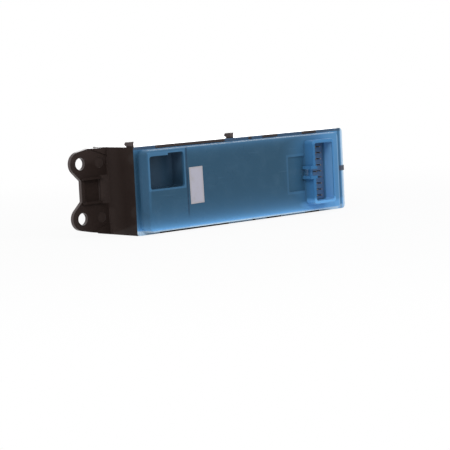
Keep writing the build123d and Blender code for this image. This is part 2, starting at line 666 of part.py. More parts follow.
# ---------------------------------------------------------------- frame that guides the sliders
with BuildPart() as slider_frame:
    low = WALL + FRAME_CLEARANCE
    high = CASE_WIDTH - low
    with BuildSketch(level(FRAME_TOP)):
        box_between(FRAME_START, FRAME_END, low, high)
    extrude(amount=FRAME_TOP - CHANNEL_TOP)
    # walls under the web: around the edge, around each channel and around each screw
    with BuildSketch(level(CHANNEL_TOP)):
        box_between(FRAME_START, FRAME_END, low, high)
        with Locations(((FRAME_START + FRAME_END) / 2, MIDDLE)):
            Rectangle(
                FRAME_END - FRAME_START - 2 * FRAME_WALL,
                high - low - 2 * FRAME_WALL,
                mode=Mode.SUBTRACT,
            )
        for _, column, row, _ in ROCKERS:
            with Locations((column, row)):
                Rectangle(CHANNEL_LENGTH + 2 * FRAME_WALL, CHANNEL_WIDTH + 2 * FRAME_WALL)
        with Locations(*SCREWS):
            Circle(POST / 2)
        with Locations(((FRAME_START + FRAME_END) / 2, MIDDLE)):
            Rectangle(FRAME_END - FRAME_START, high - low, mode=Mode.INTERSECT)
    extrude(amount=CHANNEL_TOP - BOARD_FRONT)
    # channels, the levers' slots above them and the springs' troughs in the web
    with BuildSketch(level(CHANNEL_TOP)):
        for _, column, row, _ in ROCKERS:
            with Locations((column, row)):
                Rectangle(CHANNEL_LENGTH, CHANNEL_WIDTH)
    extrude(amount=CHANNEL_TOP - BOARD_FRONT, mode=Mode.SUBTRACT)
    with BuildSketch(level(FRAME_TOP)):
        for _, column, row, _ in ROCKERS:
            with Locations((column, row)):
                Rectangle(LEVER_SLOT, LEVER_THICKNESS + 2 * NOTCH_SIDE_GAP)
        with Locations((LOCK_COLUMN, ROW_LOW)):
            Circle(STEM_HOLE / 2)
        with Locations(*LAMPS):
            Circle(GUIDE / 2 + GUIDE_CLEARANCE)
    extrude(amount=FRAME_TOP - CHANNEL_TOP, mode=Mode.SUBTRACT)
    with BuildSketch(level(SPRING_DEPTH + SPRING_DIAMETER / 2 + SPRING_GAP)):
        for _, column, row, _ in ROCKERS:
            with Locations((column, row + SPRING_OFFSET)):
                Rectangle(SPRING_LENGTH + 2 * SPRING_GAP, SPRING_DIAMETER + 2 * SPRING_GAP)
    extrude(
        amount=SPRING_DEPTH + SPRING_DIAMETER / 2 + SPRING_GAP - CHANNEL_TOP, mode=Mode.SUBTRACT
    )
    with BuildSketch(level(FRAME_TOP)):
        with Locations(*SCREWS):
            Circle(SCREW_SHANK / 2 + SCREW_CLEARANCE)
    extrude(amount=FRAME_TOP - BOARD_FRONT, mode=Mode.SUBTRACT)
save(slider_frame, "slider_frame")

# ---------------------------------------------------------------- rockers, sliders and what they move
for name, column, row, length in ROCKERS:
    half = length / 2
    deck = CASE_DEPTH - PIVOT_DEPTH
    top = deck + KNOB_RISE
    roof = deck + KNOB_SADDLE - KNOB_SKIN

    # knob: pressed at its heel, pulled at its lip; hollow, with a moulded axle and lever
    with BuildPart() as rocker:
        with BuildSketch(side_view(column, PIVOT_DEPTH, row)):
            with BuildLine():
                Polyline(
                    (half - KNOB_LIP, top),
                    (half - KNOB_LIP / 3, top),
                    (half, top - KNOB_LIP / 2),
                    (half - KNOB_LIP / 2, deck + KNOB_SADDLE),
                    (half - KNOB_LIP / 2, -KNOB_SKIRT),
                    (-half, -KNOB_SKIRT),
                    (-half, deck + KNOB_HEEL),
                )
                ThreePointArc(
                    (-half, deck + KNOB_HEEL), (0, deck + KNOB_SADDLE), (half - KNOB_LIP, top)
                )
            make_face()
        extrude(amount=KNOB_WIDTH / 2, both=True)
        with BuildSketch(side_view(column, PIVOT_DEPTH, row)):
            with BuildLine():
                Polyline(
                    (-half + KNOB_SKIN, -KNOB_SKIRT),
                    (-half + KNOB_SKIN, roof),
                    (half - KNOB_LIP / 2 - KNOB_SKIN, roof),
                    (half - KNOB_LIP / 2 - KNOB_SKIN, -KNOB_SKIRT),
                    close=True,
                )
            make_face()
        extrude(amount=KNOB_WIDTH / 2 - KNOB_SKIN, both=True, mode=Mode.SUBTRACT)
        with BuildSketch(side_view(column, PIVOT_DEPTH, row)):
            Circle(AXLE / 2)
        extrude(amount=KNOB_WIDTH / 2 + KNOB_SIDE_GAP + AXLE_SEAT, both=True)
        with BuildSketch(side_view(column, PIVOT_DEPTH, row)):
            with BuildLine():
                Polyline(
                    (-LEVER_ROOT / 2, roof + KNOB_SKIN / 2),
                    (LEVER_ROOT / 2, roof + KNOB_SKIN / 2),
                    (LEVER_NECK / 2, -LEVER),
                    (-LEVER_NECK / 2, -LEVER),
                    close=True,
                )
            make_face()
            with Locations((0, -LEVER)):
                Circle(LEVER_TIP / 2)
        extrude(amount=LEVER_THICKNESS / 2, both=True)
    save(rocker, f"{name}_rocker")

    # slider: notch for the lever's tip, trough for the spring, seat for the moving contact
    with BuildPart() as slider:
        with BuildSketch(level(SLIDER_TOP)):
            with Locations((column, row)):
                RectangleRounded(SLIDER_LENGTH, SLIDER_WIDTH, WELL_ROUND)
        extrude(amount=SLIDER_TOP - SLIDER_BOTTOM)
        with BuildSketch(level(SLIDER_TOP)):
            with Locations((column, row)):
                Rectangle(LEVER_TIP + 2 * NOTCH_GAP, LEVER_THICKNESS + 2 * NOTCH_SIDE_GAP)
        extrude(amount=SLIDER_TOP - NOTCH_FLOOR, mode=Mode.SUBTRACT)
        trough = SLIDER_TOP - SPRING_DEPTH + SPRING_DIAMETER / 2 + SPRING_GAP
        with BuildSketch(level(SLIDER_TOP)):
            with Locations((column, row + SPRING_OFFSET)):
                Rectangle(SPRING_LENGTH + 2 * SPRING_GAP, SPRING_DIAMETER + 2 * SPRING_GAP)
        extrude(amount=trough, mode=Mode.SUBTRACT)
        with BuildSketch(level(SLIDER_BOTTOM + CONTACT_ARCH + CONTACT_THICKNESS)):
            with Locations((column, row)):
                Rectangle(
                    CONTACT_LENGTH - 2 * CONTACT_FOOT + 2 * NOTCH_GAP, CONTACT_WIDTH + 2 * NOTCH_GAP
                )
        extrude(amount=CONTACT_ARCH + CONTACT_THICKNESS, mode=Mode.SUBTRACT)
    save(slider, f"{name}_slider")

    # moving contact: a strip arched over the middle pad, with a flat foot at each end
    with BuildPart() as contact:
        with BuildSketch(side_view(column, SLIDER_BOTTOM, row)):
            reach = CONTACT_LENGTH / 2
            ramp = reach - CONTACT_FOOT - CONTACT_ARCH
            bend = CONTACT_THICKNESS * 0.41
            with BuildLine():
                Polyline(
                    (-reach, 0),
                    (-reach, -CONTACT_THICKNESS),
                    (-ramp - CONTACT_ARCH, -CONTACT_THICKNESS),
                    (-ramp, CONTACT_ARCH - CONTACT_THICKNESS),
                    (ramp, CONTACT_ARCH - CONTACT_THICKNESS),
                    (ramp + CONTACT_ARCH, -CONTACT_THICKNESS),
                    (reach, -CONTACT_THICKNESS),
                    (reach, 0),
                    (ramp + CONTACT_ARCH + bend, 0),
                    (ramp + bend, CONTACT_ARCH),
                    (-ramp - bend, CONTACT_ARCH),
                    (-ramp - CONTACT_ARCH - bend, 0),
                    close=True,
                )
            make_face()
        extrude(amount=CONTACT_WIDTH / 2, both=True)
    save(contact, f"{name}_contact")

    spring = coil(
        LEFT + column - (SPRING_LENGTH - SPRING_WIRE) / 2,
        BACK + SPRING_DEPTH,
        row + SPRING_OFFSET,
        (1, 0, 0),
        SPRING_DIAMETER,
        SPRING_WIRE,
        SPRING_LENGTH,
        SPRING_TURNS,
    )
    save(spring, f"{name}_spring")

# ---------------------------------------------------------------- window lock button
BUTTON_TOP = CASE_DEPTH + BUTTON_RISE
with BuildPart() as window_lock_button:
    with BuildSketch(level(BUTTON_TOP)):
        with Locations((LOCK_COLUMN, ROW_LOW)):
            RectangleRounded(BUTTON_LENGTH, KNOB_WIDTH, BUTTON_ROUND - KNOB_SIDE_GAP)
    extrude(amount=BUTTON_TOP - BUTTON_SKIRT_DEPTH)
    fillet(window_lock_button.faces().sort_by(Axis.Y)[-1].edges(), KNOB_SKIN / 2)
    with BuildSketch(level(BUTTON_TOP - KNOB_SKIN)):
        with Locations((LOCK_COLUMN, ROW_LOW)):
            Rectangle(BUTTON_LENGTH - 2 * KNOB_SKIN, KNOB_WIDTH - 2 * KNOB_SKIN)
    extrude(amount=BUTTON_TOP - KNOB_SKIN - BUTTON_SKIRT_DEPTH, mode=Mode.SUBTRACT)
    with BuildSketch(level(BUTTON_TOP - KNOB_SKIN / 2)):
        with Locations((LOCK_COLUMN, ROW_LOW)):
            Circle(STEM / 2)
    extrude(amount=BUTTON_TOP - KNOB_SKIN / 2 - STEM_END)
    with BuildSketch(level(WELL_BOTTOM - COLLAR_GAP)):
        with Locations((LOCK_COLUMN, ROW_LOW)):
            Circle(COLLAR / 2)
    extrude(amount=COLLAR_THICKNESS)
save(window_lock_button, "window_lock_button")

with BuildPart() as window_lock_contact:
    with BuildSketch(level(STEM_END)):
        with Locations((LOCK_COLUMN, ROW_LOW)):
            Circle(BUTTON_CONTACT / 2)
    extrude(amount=CONTACT_THICKNESS)
save(window_lock_contact, "window_lock_contact")

spring_start = WELL_BOTTOM + BUTTON_FLOOR + BUTTON_SPRING_GAP
window_lock_spring = coil(
    LEFT + LOCK_COLUMN,
    BACK + spring_start + BUTTON_SPRING_WIRE / 2,
    ROW_LOW,
    (0, 1, 0),
    BUTTON_SPRING_DIAMETER,
    BUTTON_SPRING_WIRE,
    BUTTON_TOP - KNOB_SKIN - BUTTON_SPRING_GAP - spring_start,
    BUTTON_SPRING_TURNS,
)
save(window_lock_spring, "window_lock_spring")

# ---------------------------------------------------------------- screws into the housing's posts
with BuildPart() as board_screws:
    with BuildSketch(level(BOARD_DEPTH + SCREW_LENGTH)):
        with Locations(*SCREWS):
            Circle(SCREW_SHANK / 2)
    extrude(amount=SCREW_LENGTH)
    with BuildSketch(level(BOARD_DEPTH)):
        with Locations(*SCREWS):
            Circle(SCREW_HEAD / 2)
    extrude(amount=SCREW_HEAD_HEIGHT)
    with BuildSketch(level(BOARD_DEPTH - SCREW_HEAD_HEIGHT + CROSS_DEPTH)):
        with Locations(*SCREWS):
            Rectangle(CROSS_SLOT, CROSS_WIDTH)
            Rectangle(CROSS_WIDTH, CROSS_SLOT)
    extrude(amount=CROSS_DEPTH, mode=Mode.SUBTRACT)
save(board_screws, "board_screws")

# ---------------------------------------------------------------- lamps and the guides over them
with BuildPart() as lamps:
    with BuildSketch(level(BOARD_FRONT + LAMP_HEIGHT)):
        with Locations(*LAMPS):
            Rectangle(LAMP_LENGTH, LAMP_LENGTH)
    extrude(amount=LAMP_HEIGHT)
save(lamps, "lamps")

with BuildPart() as light_guides:
    guide_start = BOARD_FRONT + LAMP_HEIGHT + GUIDE_LAMP_GAP
    with BuildSketch(level(CASE_DEPTH)):
        with Locations(*LAMPS):
            Circle(GUIDE / 2)
    extrude(amount=CASE_DEPTH - guide_start)
    with BuildSketch(level(FRAME_TOP + GUIDE_COLLAR_THICKNESS)):
        with Locations(*LAMPS):
            Circle(GUIDE_COLLAR / 2)
    extrude(amount=GUIDE_COLLAR_THICKNESS)
save(light_guides, "light_guides")

# ---------------------------------------------------------------- parts on the back of the board
with BuildPart() as relay:
    with BuildSketch(level(BOARD_DEPTH)):
        with Locations(RELAY_PLACE):
            RectangleRounded(RELAY[0], RELAY[1], 0.8)
    extrude(amount=RELAY[2])
    chamfer(relay.faces().sort_by(Axis.Y)[0].edges(), 0.5)
save(relay, "relay")

with BuildPart() as control_chip:
    with BuildSketch(level(BOARD_DEPTH)):
        with Locations(CHIP_PLACE):
            Rectangle(CHIP[0], CHIP[1])
    extrude(amount=CHIP[2])
    with BuildSketch(level(BOARD_DEPTH)):
        for lead in range(CHIP_LEADS):
            along = CHIP_PLACE[0] + (lead - (CHIP_LEADS - 1) / 2) * CHIP_LEAD_PITCH
            reach = CHIP[1] / 2 + CHIP_LEAD_REACH
            with Locations((along, CHIP_PLACE[1])):
                Rectangle(CHIP_LEAD, 2 * reach)
    extrude(amount=CHIP_LEAD)
save(control_chip, "control_chip")

with BuildPart() as capacitor:
    with BuildSketch(level(BOARD_DEPTH)):
        with Locations(CAPACITOR_PLACE):
            Rectangle(CAPACITOR_DIAMETER, CAPACITOR_DIAMETER)
    extrude(amount=1.0)
    with BuildSketch(level(BOARD_DEPTH)):
        with Locations(CAPACITOR_PLACE):
            Circle(CAPACITOR_DIAMETER / 2)
    extrude(amount=CAPACITOR_HEIGHT)
save(capacitor, "capacitor")
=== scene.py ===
import math

import bmesh
import bpy
from mathutils import Matrix, Vector


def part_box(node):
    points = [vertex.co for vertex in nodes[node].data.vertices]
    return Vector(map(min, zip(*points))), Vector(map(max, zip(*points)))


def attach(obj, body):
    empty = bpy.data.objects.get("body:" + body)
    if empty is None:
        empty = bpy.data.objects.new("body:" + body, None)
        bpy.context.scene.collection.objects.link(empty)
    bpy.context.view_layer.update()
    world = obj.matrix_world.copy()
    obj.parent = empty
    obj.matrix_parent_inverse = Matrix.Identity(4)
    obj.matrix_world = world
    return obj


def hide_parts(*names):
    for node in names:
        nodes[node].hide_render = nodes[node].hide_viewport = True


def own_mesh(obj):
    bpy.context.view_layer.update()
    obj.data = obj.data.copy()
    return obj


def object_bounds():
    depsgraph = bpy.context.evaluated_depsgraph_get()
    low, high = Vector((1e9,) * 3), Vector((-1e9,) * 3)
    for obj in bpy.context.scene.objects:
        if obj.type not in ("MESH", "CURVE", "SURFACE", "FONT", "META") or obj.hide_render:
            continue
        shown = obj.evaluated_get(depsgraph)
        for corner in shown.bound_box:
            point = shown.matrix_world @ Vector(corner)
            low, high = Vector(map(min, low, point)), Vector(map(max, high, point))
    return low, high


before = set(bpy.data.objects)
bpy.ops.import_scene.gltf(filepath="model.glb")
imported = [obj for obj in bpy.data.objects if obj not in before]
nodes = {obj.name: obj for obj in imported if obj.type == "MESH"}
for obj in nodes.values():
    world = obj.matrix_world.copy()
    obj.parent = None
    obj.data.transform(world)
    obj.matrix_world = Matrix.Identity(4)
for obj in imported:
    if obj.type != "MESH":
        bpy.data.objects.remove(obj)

cad_low, cad_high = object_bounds()
scene = bpy.context.scene

# ---------------------------------------------------------------- places on the switch
# Places on the blue cover are in millimetres: along it from its end beside the ears, up from
# the long edge it stands on, and out from the back of its flange towards the harness plug.

MM = 0.001
SHROUD_RISE = 14.4
PLATE_RISE = 7.5
BOX_END = 142.8
FLANGE_END = 154.0
STEP_ALONG = 27.6
POCKET_ALONG = (3.0, 26.2)
POCKET_UP = (23.9, 42.1)
PANEL_ALONG = (102.6, 115.0)
PANEL_UP = (13.7, 32.9)
SHROUD_FOOT = 112.0
SHROUD_UP = (6.8, 40.6)
CAVITY_END = 130.8
TONGUE_UP = (21.6, 24.6)

# Places on the black case: in from its end wall, with the screw ears below zero, up from its
# lower edge, and back from the flange towards the knobs.
CASE_TOP = 46.0
EAR_BACK = 23.2
RECESS_IN = (-15.6, -5.4)
RECESS_UP = (17.2, 31.0)
DIMPLE_IN = -5.4
DIMPLE_UP = (9.8, 38.4)
DIMPLE_RADIUS = 2.8

cover_low, cover_high = (Vector(corner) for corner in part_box("back_cover"))
flange_y = cover_low.y + SHROUD_RISE * MM


# ---------------------------------------------------------------- camera

VIEW_AZIMUTH = math.radians(-42.27)
VIEW_ELEVATION = math.radians(5.666)
VIEW_ROLL = math.radians(-2.828)
VIEW_DISTANCE = 0.950
VIEW_LENS = 139.76
VIEW_ASIDE = 0.009725
VIEW_RAISE = 0.024772
LOOK_ALONG = 0.075
LOOK_HEIGHT = 0.023


def place_camera():
    """A long lens, low beside the screw ears, with the switch high in its view."""
    target = Vector((cover_low.x + LOOK_ALONG, flange_y, LOOK_HEIGHT))
    back = Vector(
        (
            math.sin(VIEW_AZIMUTH) * math.cos(VIEW_ELEVATION),
            -math.cos(VIEW_AZIMUTH) * math.cos(VIEW_ELEVATION),
            math.sin(VIEW_ELEVATION),
        )
    )
    level_right = (-back).cross(Vector((0, 0, 1))).normalized()
    level_up = level_right.cross(-back).normalized()
    right = math.cos(VIEW_ROLL) * level_right + math.sin(VIEW_ROLL) * level_up
    up = -math.sin(VIEW_ROLL) * level_right + math.cos(VIEW_ROLL) * level_up
    place = target + back * VIEW_DISTANCE - right * VIEW_ASIDE - up * VIEW_RAISE
    turn = Matrix((right, up, back)).transposed().to_4x4()
    data = bpy.data.cameras.new("studio_camera")
    data.lens = VIEW_LENS
    data.sensor_width = 36.0
    data.clip_start = 0.01
    camera = bpy.data.objects.new("studio_camera", data)
    camera.matrix_world = Matrix.Translation(place) @ turn
    scene.collection.objects.link(camera)
    scene.camera = camera


place_camera()
scene.view_settings.view_transform = "Standard"

# ---------------------------------------------------------------- node helpers

# the sockets of a Mix node that carry colours
MIX_FACTOR, MIX_FIRST, MIX_SECOND, MIX_RESULT = 0, 6, 7, 2


def paint(red, green, blue):
    """A display colour from 0 to 255 as the linear colour that a shader socket takes."""
    linear = []
    for value in (red / 255, green / 255, blue / 255):
        linear.append(value / 12.92 if value <= 0.04045 else ((value + 0.055) / 1.055) ** 2.4)
    return (*linear, 1)


def put(tree, source, socket):
    """Link a socket, or set a plain value."""
    if isinstance(source, (int, float, tuple)):
        socket.default_value = source
    else:
        tree.links.new(source, socket)


def calculate(tree, operation, first, second=None):
    node = tree.nodes.new("ShaderNodeMath")
    node.operation = operation
    put(tree, first, node.inputs[0])
    if second is not None:
        put(tree, second, node.inputs[1])
    return node.outputs[0]


def product(tree, *factors):
    result = factors[0]
    for factor in factors[1:]:
        result = calculate(tree, "MULTIPLY", result, factor)
    return result


def largest(tree, *values):
    result = values[0]
    for value in values[1:]:
        result = calculate(tree, "MAXIMUM", result, value)
    return result


def ramp(tree, value, low, high):
    """0 at low and 1 at high, with soft ends. High may be the lower number."""
    node = tree.nodes.new("ShaderNodeMapRange")
    node.interpolation_type = "SMOOTHSTEP"
    for index, source in enumerate((value, low, high)):
        put(tree, source, node.inputs[index])
    return node.outputs[0]


def band(tree, value, low, high, soft):
    """1 between two places and 0 outside them, over a soft edge."""
    rise = ramp(tree, value, low - soft, low + soft)
    return product(tree, rise, ramp(tree, value, high + soft, high - soft))


def fade(tree, distance, reach):
    """1 at no distance, and e times less with each reach further."""
    return calculate(tree, "EXPONENT", calculate(tree, "DIVIDE", distance, -reach))


def mix_colour(tree, mask, first, second):
    """The first colour where the mask is 0, and the second where it is 1."""
    node = tree.nodes.new("ShaderNodeMix")
    node.data_type = "RGBA"
    for index, source in ((MIX_FACTOR, mask), (MIX_FIRST, first), (MIX_SECOND, second)):
        put(tree, source, node.inputs[index])
    return node.outputs[MIX_RESULT]


def own_place(tree):
    """The surface point in the switch's own frame, and its X, Y and Z."""
    place = tree.nodes.new("ShaderNodeTexCoord").outputs["Object"]
    split = tree.nodes.new("ShaderNodeSeparateXYZ")
    tree.links.new(place, split.inputs[0])
    return place, split.outputs


def millimetres(tree, value, start):
    return calculate(tree, "MULTIPLY", calculate(tree, "SUBTRACT", value, start), 1 / MM)


def add_noise(tree, place, scale, detail, roughness=0.5):
    noise = tree.nodes.new("ShaderNodeTexNoise")
    noise.inputs["Detail"].default_value = detail
    noise.inputs["Roughness"].default_value = roughness
    put(tree, place, noise.inputs["Vector"])
    put(tree, scale, noise.inputs["Scale"])
    return noise.outputs["Fac"]


# ---------------------------------------------------------------- shared effects


def new_group(name, inputs, outputs):
    """A shader group with number sockets. Inputs are name: default, outputs are names."""
    group = bpy.data.node_groups.new(name, "ShaderNodeTree")
    for socket, default in inputs.items():
        made = group.interface.new_socket(
            name=socket, in_out="INPUT", socket_type="NodeSocketFloat"
        )
        made.default_value = default
    for socket in outputs:
        group.interface.new_socket(name=socket, in_out="OUTPUT", socket_type="NodeSocketFloat")
    given = group.nodes.new("NodeGroupInput").outputs
    found = group.nodes.new("NodeGroupOutput").inputs
    return group, given, found


def make_grain():
    """Spark-eroded mould texture: fine grain, and slow drifts of gloss over it."""
    group, given, found = new_group(
        "mould grain", {"Grain per metre": 2600.0, "Drift per metre": 40.0}, ("Grain", "Drift")
    )
    place, _ = own_place(group)
    group.links.new(add_noise(group, place, given["Grain per metre"], 3.0), found["Grain"])
    group.links.new(add_noise(group, place, given["Drift per metre"], 4.0), found["Drift"])
    return group


def make_scuffs():
    """Sparse hairline rubs along the case, and a thin film of dust between them."""
    group, given, found = new_group("handling scuffs", {"Amount": 0.3}, ("Rubs", "Dust"))
    place, _ = own_place(group)
    stretch = group.nodes.new("ShaderNodeMapping")
    stretch.inputs["Scale"].default_value = (60.0, 600.0, 900.0)
    stretch.inputs["Rotation"].default_value = (0.1, 0.35, 0.2)
    group.links.new(place, stretch.inputs["Vector"])
    rubs = ramp(group, add_noise(group, stretch.outputs[0], 1.0, 5.0), 0.64, 0.76)
    dust = ramp(group, add_noise(group, place, 130.0, 8.0, 0.7), 0.45, 0.8)
    group.links.new(product(group, rubs, given["Amount"]), found["Rubs"])
    group.links.new(product(group, dust, given["Amount"]), found["Dust"])
    return group


grain_group = make_grain()
scuff_group = make_scuffs()

# ---------------------------------------------------------------- finishes


def new_material(name):
    material = bpy.data.materials.new(name)
    material.use_nodes = True
    tree = material.node_tree
    return material, tree, tree.nodes["Principled BSDF"]


def use_group(tree, group, **values):
    node = tree.nodes.new("ShaderNodeGroup")
    node.node_tree = group
    for name, value in values.items():
        node.inputs[name.replace("_", " ")].default_value = value
    return node.outputs


def add_bump(tree, shader, height, strength, distance):
    bump = tree.nodes.new("ShaderNodeBump")
    bump.inputs["Strength"].default_value = strength
    bump.inputs["Distance"].default_value = distance
    tree.links.new(height, bump.inputs["Height"])
    tree.links.new(bump.outputs[0], shader.inputs["Normal"])


def set_roughness(tree, shader, drift, low, high):
    """Roughness wanders between two values with the mould's drift of gloss."""
    spread = product(tree, ramp(tree, drift, 0.3, 0.7), high - low)
    tree.links.new(calculate(tree, "ADD", spread, low), shader.inputs["Roughness"])


def finish_plastic(tree, shader, colour, rub_colour, rough, grain, depth, wear):
    """Grain, drift of gloss, rubs and dust over a moulded colour."""
    texture = use_group(tree, grain_group, Grain_per_metre=grain)
    scuffs = use_group(tree, scuff_group, Amount=wear)
    colour = mix_colour(tree, scuffs["Rubs"], colour, rub_colour)
    colour = mix_colour(tree, scuffs["Dust"], colour, rub_colour)
    tree.links.new(colour, shader.inputs["Base Color"])
    set_roughness(tree, shader, texture["Drift"], *rough)
    add_bump(tree, shader, texture["Grain"], 0.35, depth)


def moulded_plastic(
    name, colour, rub_colour, rough=(0.4, 0.55), grain=2600.0, depth=0.00002, wear=0.3, ior=1.45
):
    material, tree, shader = new_material(name)
    finish_plastic(tree, shader, colour, rub_colour, rough, grain, depth, wear)
    shader.inputs["IOR"].default_value = ior
    return material


def rolled_metal(name, colour, dull_colour, rough=(0.22, 0.4), grain=1800.0):
    material, tree, shader = new_material(name)
    texture = use_group(tree, grain_group, Grain_per_metre=grain, Drift_per_metre=220.0)
    tarnish = ramp(tree, texture["Drift"], 0.35, 0.75)
    tree.links.new(mix_colour(tree, tarnish, colour, dull_colour), shader.inputs["Base Color"])
    shader.inputs["Metallic"].default_value = 1.0
    set_roughness(tree, shader, texture["Drift"], *rough)
    add_bump(tree, shader, texture["Grain"], 0.2, 0.00001)
    return material


def clear_plastic(name, tint, transmission=0.9):
    material, tree, shader = new_material(name)
    texture = use_group(tree, grain_group, Grain_per_metre=900.0)
    hazy = tuple(0.85 * channel for channel in tint[:3]) + (1,)
    tree.links.new(mix_colour(tree, texture["Drift"], tint, hazy), shader.inputs["Base Color"])
    shader.inputs["Roughness"].default_value = 0.12
    shader.inputs["Transmission Weight"].default_value = transmission
    add_bump(tree, shader, texture["Grain"], 0.1, 0.00001)
    return material


# ---- black case ----
CASE_BLACK = paint(44, 35, 32)
CASE_BLOOM_AND_PAINTED_LIGHT = paint(68, 58, 55)
CASE_EDGE_HIGHLIGHT = paint(98, 88, 86)
CASE_RUB = paint(62, 54, 51)


def case_plastic():
    """Warm black plastic, dull seen square on, that mirrors the studio at a low angle."""
    material, tree, shader = new_material("black_case_plastic")
    place, (x, y, z) = own_place(tree)
    inward = millimetres(tree, x, cover_low.x)
    up = millimetres(tree, z, cover_low.z)
    back = millimetres(tree, y, flange_y)

    # bloom in faint clouds; painted light over the far, low and high parts of the end wall, the
    # tops of the ears and the ears' root; and lighter in the dimples
    cloud = product(tree, ramp(tree, add_noise(tree, place, 28.0, 2.0), 0.42, 0.68), 0.12)
    end_wall = ramp(tree, inward, -0.8, -0.2)
    far_wall_painted_light = product(tree, end_wall, ramp(tree, back, 8.0, 20.0), 0.6)
    # painted bounce light from the floor on the low part of the end wall
    low_wall_painted_light = product(
        tree, end_wall, ramp(tree, back, 12.0, 22.0), ramp(tree, up, 17.0, 13.0), 0.95
    )
    high_wall_painted_light = product(tree, end_wall, ramp(tree, up, 30.0, 42.0), 0.2)
    high_ear_painted_light = product(tree, ramp(tree, inward, -0.6, -1.2), ramp(tree, up, 37.0, 41.0), 0.35)
    # painted light at the ears' root
    ear_root_painted_light = product(
        tree,
        ramp(tree, inward, -6.0, -4.6),
        ramp(tree, back, 20.0, 23.0),
        band(tree, up, RECESS_UP[0] - 0.6, RECESS_UP[1] + 0.6, 0.4),
        0.9,
    )
    dimples = 0.0
    for height in DIMPLE_UP:
        aside = calculate(tree, "SUBTRACT", inward, DIMPLE_IN)
        above = calculate(tree, "SUBTRACT", up, height)
        square = calculate(tree, "ADD", product(tree, aside, aside), product(tree, above, above))
        spot = ramp(tree, square, DIMPLE_RADIUS**2 + 1.0, DIMPLE_RADIUS**2 - 1.0)
        dimples = largest(tree, dimples, spot)
    dimple_lighter = product(tree, dimples, 0.5)
    bloom_and_painted_light = largest(tree, cloud, far_wall_painted_light, low_wall_painted_light, high_wall_painted_light, high_ear_painted_light, ear_root_painted_light, dimple_lighter)
    colour = mix_colour(tree, bloom_and_painted_light, CASE_BLACK, CASE_BLOOM_AND_PAINTED_LIGHT)

    # painted shade: the recess keeps the plain black, darker than the bloom and painted light round
    # it
    in_recess = product(
        tree,
        band(tree, inward, RECESS_IN[0], RECESS_IN[1], 0.2),
        band(tree, up, RECESS_UP[0], RECESS_UP[1], 0.2),
    )
    colour = mix_colour(tree, in_recess, colour, CASE_BLACK)

    # painted highlights: along the ears' rim, on the lugs that stand proud, and on the rim beside
    # the flange
    sunk = largest(tree, in_recess, dimples)
    rim = product(
        tree,
        band(tree, back, EAR_BACK + 0.3, EAR_BACK + 2.2, 0.2),
        ramp(tree, inward, -0.5, -1.0),
        calculate(tree, "SUBTRACT", 1.0, sunk),
    )
    lug_highlight = ramp(tree, up, CASE_TOP + 0.1, CASE_TOP + 0.6)
    # painted highlight on the case's rim beside the flange, where the coat is off
    rim_strip_highlight = product(
        tree, ramp(tree, back, 1.6, 1.0), ramp(tree, up, CASE_TOP - 2.5, CASE_TOP - 2.0)
    )
    case_edge_highlights = largest(
        tree, product(tree, rim, 0.8), product(tree, lug_highlight, 0.9), product(tree, rim_strip_highlight, 0.4)
    )
    colour = mix_colour(tree, case_edge_highlights, colour, CASE_EDGE_HIGHLIGHT)

    finish_plastic(tree, shader, colour, CASE_RUB, (0.34, 0.46), 2600.0, 0.00002, 0.18)
    shader.inputs["IOR"].default_value = 1.12
    tree.links.new(calculate(tree, "SUBTRACT", 1.0, rim_strip_highlight), shader.inputs["Coat Weight"])
    shader.inputs["Coat IOR"].default_value = 1.12
    shader.inputs["Coat Roughness"].default_value = 0.1
    return material


# ---- blue cover ----
COVER_CORE = paint(45, 80, 104)
COVER_GLOW = paint(108, 172, 228)
COVER_SHROUD = paint(50, 108, 158)
COVER_POCKET_SHADE = paint(42, 66, 86)
COVER_LIT_CORNER = paint(74, 98, 122)
COVER_CREASE_SHADE = paint(28, 46, 72)
COVER_OVER_BLACK = paint(66, 80, 98)
COVER_OVER_TONGUE = paint(70, 72, 84)
COVER_RIM_HIGHLIGHT = paint(196, 222, 242)
COVER_DUST = paint(104, 136, 160)
COVER_RUB = paint(112, 150, 182)


